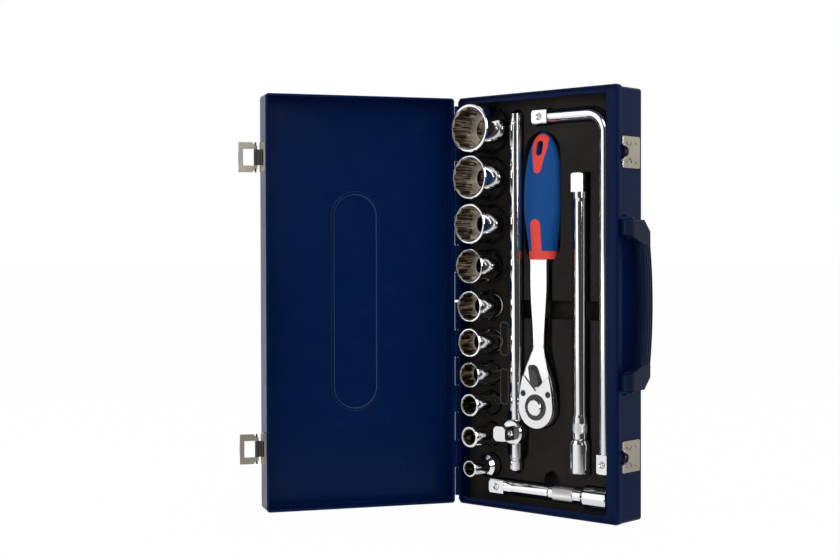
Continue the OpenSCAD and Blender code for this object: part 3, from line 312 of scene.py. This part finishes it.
# ------------------------------------------------------------------ added pieces
def new_piece(name, verts, faces, body, slot, smooth):
    """Adds a mesh that rides on a body, smooth below an angle, with a slot's finish."""
    mesh = bpy.data.meshes.new(name)
    mesh.from_pydata([tuple(v) for v in verts], [], faces)
    mesh.validate()
    edit = bmesh.new()
    edit.from_mesh(mesh)
    bmesh.ops.recalc_face_normals(edit, faces=edit.faces)
    edit.to_mesh(mesh)
    edit.free()
    mesh.materials.append(FINISH[slot])
    mesh.shade_smooth()
    mesh.set_sharp_from_angle(angle=math.radians(smooth))
    obj = bpy.data.objects.new(name, mesh)
    scene.collection.objects.link(obj)
    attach(obj, body)
    return obj


def ring_faces(rows, count, first=0):
    """Faces between rows of count points each, closed round every row."""
    faces = []
    for r in range(rows - 1):
        for k in range(count):
            a, b = first + r * count + k, first + r * count + (k + 1) % count
            faces.append((a, b, b + count, a + count))
    return faces


def knurl(name, body, place, radius, start, end):
    """Diamond-knurled sleeve round a bar; place maps (x, y, along) to the frame."""
    diamonds, depth, step = 20, 0.5 * MM, 0.3 * MM
    rows, count = max(8, int((end - start) / step)), diamonds * 8
    verts, faces = [], []
    for r in range(rows):
        t = start + (end - start) * r / (rows - 1)
        turn = (t - start) / (radius * 2 * math.pi / diamonds)
        for k in range(count):
            a = k / count
            up = (abs(((a * diamonds + turn) % 1) - 0.5)
                  + abs(((a * diamonds - turn) % 1) - 0.5))
            edge = 0 if r in (0, rows - 1) else 1
            reach = radius + edge * depth * up
            verts.append(place(reach * math.cos(a * 2 * math.pi),
                               reach * math.sin(a * 2 * math.pi), t))
    faces += ring_faces(rows, count)
    faces.append(tuple(range(count)))
    faces.append(tuple(reversed(range((rows - 1) * count, rows * count))))
    new_piece(name, verts, faces, body, "chrome", 20)


def add_knurls():
    """Knurls over the gripping bands of the two extensions, measured from their socket ends."""
    low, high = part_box("short_extension")
    end, y, z = high.x, (low.y + high.y) / 2, (low.z + high.z) / 2
    knurl("short_extension_knurl", "short_extension",
          lambda a, b, t: (end - t, y + b, z + a),
          radius=6.78 * MM, start=35 * MM, end=56 * MM)
    low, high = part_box("long_extension")
    x, y, z = (low.x + high.x) / 2, (low.y + high.y) / 2, low.z
    knurl("long_extension_knurl", "long_extension",
          lambda a, b, t: (x + a, y + b, z + t),
          radius=6.98 * MM, start=34 * MM, end=42 * MM)


def stadium(half_w, half_l, radius, steps):
    """Points and outward directions along a rectangle with round corners."""
    path = []
    for quarter, (sx, sz) in enumerate(((1, 1), (-1, 1), (-1, -1), (1, -1))):
        for k in range(steps + 1):
            a = (quarter + k / steps) * math.pi / 2
            path.append((sx * (half_w - radius) + radius * math.cos(a),
                         sz * (half_l - radius) + radius * math.sin(a),
                         math.cos(a), math.sin(a)))
    return path


def rib(name, body, slot, path, section, place, closed=True):
    """Sweeps a section of (outwards, height) in mm along a path; place sets it in the frame."""
    verts = [place(u + nu * d * MM, h * MM, v + nv * d * MM)
             for u, v, nu, nv in path for d, h in section]
    rows, count = len(path), len(section)
    faces = ring_faces(rows, count)
    last = (rows - 1) * count
    if closed:
        faces += [(last + k, last + (k + 1) % count, (k + 1) % count, k) for k in range(count)]
    else:
        faces += [tuple(range(count)), tuple(reversed(range(last, last + count)))]
    return new_piece(name, verts, faces, body, slot, 50)


def on_lid(x, y, z):
    """Where a point of the shut lid is while the lid is open."""
    return LID_TURN @ (Vector((x, y, z)) - HINGE) + HINGE


def add_panel_bead():
    """Rounded shoulder of the stadium stamped into the lid; its places are the shut lid's."""
    half_w, half_l, face_y = 21 * MM, 96.5 * MM, -41.8 * MM
    section = [(1.3, -0.05), (1.0, 0.06), (0.6, 0.2), (0.15, 0.27), (-0.3, 0.19), (-0.7, -0.06),
               (-1.1, -0.36), (-1.5, -0.54), (-2.0, -0.61), (-2.0, -0.8), (1.3, -0.8)]
    bead = rib("lid_panel_shoulder", "lid", "case_paint",
               stadium(half_w, half_l, half_w - 0.01 * MM, 20), section,
               lambda u, h, v: on_lid(u, face_y + h, MIDDLE_Z * MM + v))
    # Pale lavender along the bead's edges: a painted highlight, not wear
    bead.data.materials[0] = enamel("bead_painted_highlight", (0.10, 0.17, 0.33), 0.9)


def add_tray_frames():
    """Two raised, empty label frames on the tray, between the sockets and the sliding bar."""
    section = [(0.7, -0.3), (0.7, 0.25), (0.4, 0.5), (-0.1, 0.5), (-0.4, 0.25), (-0.4, -0.3)]
    # The frames are coloured far paler than the tray they are moulded in: a painted highlight on
    # the raised frames
    pale = soft_plastic("frame_painted_highlight", (0.085, 0.080, 0.074), (0.055, 0.052, 0.048), 0.4, 0.55,
                        (2100, 0.00004), 0.3)
    x, half_w, corner = -43.4, 4.2, 2.6
    for k, (z, half_l) in enumerate(((147.5, 14.2), (105.5, 15.2))):
        frame_rib = rib("tray_label_frame_%d" % (k + 1), "base", "tray_plastic",
                        stadium(half_w * MM, half_l * MM, corner * MM, 6), section,
                        lambda u, h, v, z=z: Vector((x * MM + u, TRAY_Y * MM - h, z * MM + v)))
        frame_rib.data.materials[0] = pale


def add_catch_details():
    """Pressed collar round each catch's hook and folded strips beside it."""
    collar = [(-0.9, 2.5), (-0.6, 2.8), (0.8, 2.8), (1.1, 2.5), (1.4, 1.15), (1.4, 0.9),
              (-0.9, 0.9)]
    hook_r = 4.9 * MM
    half = [(hook_r * math.sin(a), hook_r * math.cos(a), math.sin(a), math.cos(a))
            for a in (math.pi * k / 24 for k in range(25))]
    strip = [(0.7, 1.1), (0.7, 1.45), (0.4, 1.75), (-0.4, 1.75), (-0.7, 1.45), (-0.7, 1.1)]
    for side, z in LATCH_Z.items():
        def place(u, h, v, z=z):
            return Vector((WALL_X * MM + h, CATCH_Y * MM + u, z * MM + v))
        rib("catch_collar_" + side, "base", "chrome", half, collar, place, False)
        for k, (low, high) in enumerate(((-12.2, -7.2), (7.2, 12.2))):
            rib("catch_strip_%s_%d" % (side, k + 1), "base", "chrome",
                [(1.0 * MM, low * MM, 1, 0), (1.0 * MM, high * MM, 1, 0)], strip, place, False)


def rivet_heads(name, places, body, slot, radius=1.6 * MM, height=0.7 * MM):
    """Domed rivet heads; places are (point, outward direction)."""
    verts, faces = [], []
    # The rows stop short of the top, where one flat face closes the dome
    rows, count, dome = 6, 24, 0.96
    for point, out in places:
        out = Vector(out).normalized()
        side = out.cross(Vector((0, 0, 1)) if abs(out.z) < 0.9 else Vector((1, 0, 0))).normalized()
        other = out.cross(side)
        first = len(verts)
        for r in range(rows):
            t = r / (rows - 1) * math.pi / 2 * dome
            for k in range(count):
                a = 2 * math.pi * k / count
                verts.append(Vector(point) + (side * math.cos(a) + other * math.sin(a))
                             * radius * math.cos(t) + out * height * math.sin(t))
        faces += ring_faces(rows, count, first)
        faces.append(tuple(range(first + (rows - 1) * count, first + rows * count)))
        faces.append(tuple(reversed(range(first, first + count))))
    new_piece(name, verts, faces, body, slot, 60)


def add_rivets():
    """Rivets of the catches, handle brackets and hinges, and of the latches on the open lid."""
    outwards, backwards = Vector((1, 0, 0)), Vector((-1, 0, 0))
    lid_outwards = LID_TURN @ outwards
    latches = sorted(LATCH_Z.values())
    # Each row's place into the case, and its step from the middle of the latch or the handle
    catch_y, catch_step = 9.5, 8
    bracket_y, bracket_step = (-9.4, -3.6), 73.3
    latch_y, latch_step = -29.5, 7.5
    base_hinge_y, lid_hinge_y = -8.5, -27.5
    rivet_heads("catch_rivets", [(Vector((PLATE_X, catch_y, z + s * catch_step)) * MM, outwards)
                                 for z in latches for s in (-1, 1)], "base", "nickel", 1.5 * MM)
    rivet_heads("handle_bracket_rivets",
                [(Vector((PLATE_X, y, MIDDLE_Z + s * bracket_step)) * MM, outwards)
                 for y in bracket_y for s in (-1, 1)], "base", "case_paint", 1.2 * MM, 0.6 * MM)
    rivet_heads("base_hinge_rivets", [(Vector((LEAF_X, base_hinge_y, z)) * MM, backwards)
                                      for z in HINGE_RIVET_Z], "base", "case_paint")
    rivet_heads("latch_rivets",
                [(on_lid(LATCH_PLATE_X * MM, latch_y * MM, (z + s * latch_step) * MM),
                  lid_outwards) for z in latches for s in (-1, 1)], "lid", "nickel", 1.5 * MM)
    rivet_heads("lid_hinge_rivets", [(on_lid(LEAF_X * MM, lid_hinge_y * MM, z * MM),
                                      -lid_outwards) for z in HINGE_RIVET_Z],
                "lid", "case_paint")


def add_grip_seams():
    """Parting line of the moulded grip, one ridge on each side."""
    low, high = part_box("ratchet_grip")
    grip = frame["nodes"]["ratchet_grip"]
    back = grip.matrix_world.inverted()
    y = (low.y + high.y) / 2
    # Where the seam begins above the grip's lower end, its length, the steps along it, and how
    # far outside the grip each look for its surface starts
    first, length, steps, outside = 9 * MM, 91 * MM, 60, 200 * MM
    section = [(0.3, 0.0), (0.1, 0.3), (-0.3, 0.5), (-0.3, -0.5), (0.1, -0.3)]
    for side, sign in (("right", 1), ("left", -1)):
        path = []
        for k in range(steps + 1):
            z = low.z + first + length * k / steps
            start = back @ Vector((sign * outside + (low.x + high.x) / 2, y, z))
            aim = (back.to_3x3() @ Vector((-sign, 0, 0))).normalized()
            hit, at, _, _ = grip.ray_cast(start, aim)
            if hit:
                at = grip.matrix_world @ at
                path.append((at.x, at.z, sign, 0))
        rib("grip_seam_" + side, "ratchet", "blue_grip", path, section,
            lambda u, h, v: Vector((u, y + h, v)), False)


# ------------------------------------------------------------------ stage and light
# Brightness of the room in mirrors and of the surroundings as soft light, and the share of plain
# white in the floor that the camera sees
ROOM = 0.05
FILL = 0.55
FLOOR_WHITE = 0.985
# Each lamp's place and size in metres and its power in watts, and where they all point
LAMPS = {
    "key": ((-1.0, -1.35, 0.6), (1.7, 1.6), 11),
    "right": ((1.5, -1.1, 0.9), (0.3, 1.2), 9),
    "front": ((0.75, -2.0, 1.4), (0.9, 0.7), 5),
    "top": ((0.1, 0.3, 1.8), (1.4, 0.9), 10),
}
LAMP_AIM = Vector((0, 0, 0.18))


def add_stage():
    """White floor and surroundings, with a dim room in front that only mirrors show."""
    bpy.ops.mesh.primitive_plane_add(size=60, location=(0, 0, -0.0002))
    floor = bpy.context.object
    floor.name = "floor"
    n = Nodes("floor")
    n.set(color=(0.9, 0.9, 0.9), roughness=0.9, level=0.0)
    glow = n.add("ShaderNodeEmission")
    path = n.add("ShaderNodeLightPath")
    mirrored = path.outputs["Is Glossy Ray"]
    seen = n.math("MAXIMUM", path.outputs["Is Camera Ray"], path.outputs["Is Transmission Ray"])
    mix = n.add("ShaderNodeMixShader")
    n.join(n.math("MAXIMUM", n.math("MULTIPLY", seen, FLOOR_WHITE), mirrored), mix.inputs[0])
    # In mirrors the floor to the right of the object is as dim as the room
    split = n.add("ShaderNodeSeparateXYZ")
    n.join(n.coords, split.inputs[0])
    dim = n.math("MULTIPLY", n.spread(split.outputs["X"], 0, 1 - ROOM, 0.0, 0.35),
                 n.spread(split.outputs["Y"], 1, 0, 0.0, 0.5))
    n.join(n.math("SUBTRACT", 1, n.math("MULTIPLY", mirrored, dim)), glow.inputs["Strength"])
    n.join(n.shader.outputs[0], mix.inputs[1])
    n.join(glow.outputs[0], mix.inputs[2])
    n.join(mix.outputs[0], n.tree.nodes["Material Output"].inputs["Surface"])
    floor.data.materials.append(n.material)

    world = bpy.data.worlds.new("studio")
    scene.world = world
    world.use_nodes = True
    tree = world.node_tree
    back = tree.nodes["Background"]
    back.inputs["Color"].default_value = (1, 1, 1, 1)
    path = tree.nodes.new("ShaderNodeLightPath")
    place = tree.nodes.new("ShaderNodeTexCoord")
    split = tree.nodes.new("ShaderNodeSeparateXYZ")
    tree.links.new(place.outputs["Generated"], split.inputs[0])

    def spread(source, low, high, start=0.0, end=1.0):
        """Like Nodes.spread, with a soft step and with ends that may be sockets."""
        node = tree.nodes.new("ShaderNodeMapRange")
        node.interpolation_type = "SMOOTHSTEP"
        for key, value in zip(("From Min", "From Max", "To Min", "To Max"),
                              (start, end, low, high)):
            if isinstance(value, bpy.types.NodeSocket):
                tree.links.new(value, node.inputs[key])
            else:
                node.inputs[key].default_value = value
        tree.links.new(source, node.inputs["Value"])
        return node.outputs["Result"]

    # The room in front of the object is dimmer than the white backdrop behind it
    room = spread(split.outputs["Y"], ROOM, 1.0, -0.25, 0.25)
    mirrored = spread(path.outputs["Is Glossy Ray"], FILL, room)
    clear = spread(path.outputs["Is Transmission Ray"], mirrored, 1.0)
    tree.links.new(spread(path.outputs["Is Camera Ray"], clear, 1.0), back.inputs["Strength"])


def add_light():
    """Soft rectangular lamps round the case."""
    for name, (at, size, power) in LAMPS.items():
        data = bpy.data.lights.new(name, "AREA")
        data.shape = "RECTANGLE"
        data.size, data.size_y = size
        data.energy = power
        lamp = bpy.data.objects.new(name, data)
        scene.collection.objects.link(lamp)
        lamp.location = at
        lamp.rotation_euler = (LAMP_AIM - Vector(at)).to_track_quat("-Z", "Y").to_euler()


add_camera()
dress_frame()
add_knurls()
add_panel_bead()
add_tray_frames()
add_catch_details()
add_rivets()
add_grip_seams()
add_stage()
add_light()
scene.view_settings.view_transform = "Standard"
